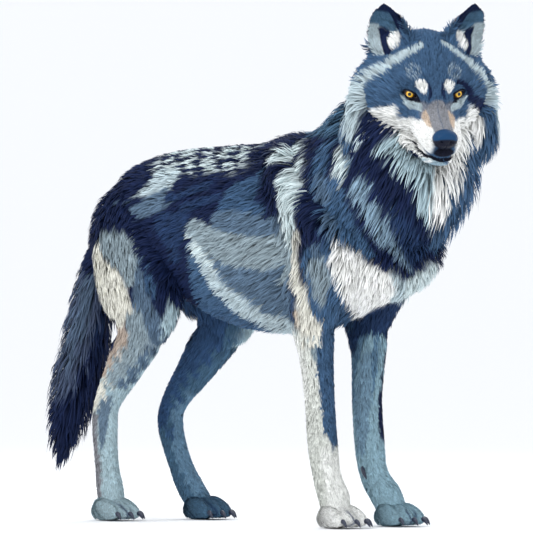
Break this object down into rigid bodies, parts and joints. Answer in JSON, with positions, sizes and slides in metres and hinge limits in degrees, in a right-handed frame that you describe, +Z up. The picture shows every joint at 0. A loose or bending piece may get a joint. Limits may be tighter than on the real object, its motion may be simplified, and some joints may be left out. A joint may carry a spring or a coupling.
{
  "type": "timber wolf, life-size still model",
  "caption": "Life-size timber wolf standing on four paws, head turned to its right, ears up, mouth closed, bushy tail hanging, thick blue-grey winter coat.",
  "frame": {"origin": "on the floor, under the middle of the bounding box", "axes": "+Z up, the wolf faces -Y, its left side is at +X, and its head is turned to its right, towards -X"},
  "size_m": [0.3214, 1.2654, 1.0802],
  "materials": {
    "coat": "thick matte fur in navy, slate blue, blue-grey, cream and white",
    "nose": "damp, finely pebbled, nearly black",
    "eyes": "wet amber eyes with dark pupils",
    "claws": "dark horn with a low sheen"
  },
  "bodies": {
    "root": {"eye_left": "eyes", "eye_right": "eyes", "nose": "nose", "lower_jaw": "coat", "claw_fore_left_outer": "claws", "claw_fore_left_middle_outer": "claws", "claw_fore_left_middle_inner": "claws", "claw_fore_left_inner": "claws", "claw_fore_left_dew": "claws", "claw_fore_right_outer": "claws", "claw_fore_right_middle_outer": "claws", "claw_fore_right_middle_inner": "claws", "claw_fore_right_inner": "claws", "claw_fore_right_dew": "claws", "claw_hind_left_outer": "claws", "claw_hind_left_middle_outer": "claws", "claw_hind_left_middle_inner": "claws", "claw_hind_left_inner": "claws", "claw_hind_right_outer": "claws", "claw_hind_right_middle_outer": "claws", "claw_hind_right_middle_inner": "claws", "claw_hind_right_inner": "claws", "fore_left_paw": "coat", "fore_left_pastern": "coat", "fore_left_forearm": "coat", "fore_right_paw": "coat", "fore_right_pastern": "coat", "fore_right_forearm": "coat", "hind_left_paw": "coat", "hind_left_instep": "coat", "hind_left_shank": "coat", "hind_left_thigh": "coat", "hind_right_paw": "coat", "hind_right_instep": "coat", "hind_right_shank": "coat", "hind_right_thigh": "coat", "ear_left": "coat", "ear_right": "coat", "head": "coat", "neck": "coat", "chest": "coat", "belly": "coat", "rump": "coat", "tail": "coat"}
  },
  "joints": []
}
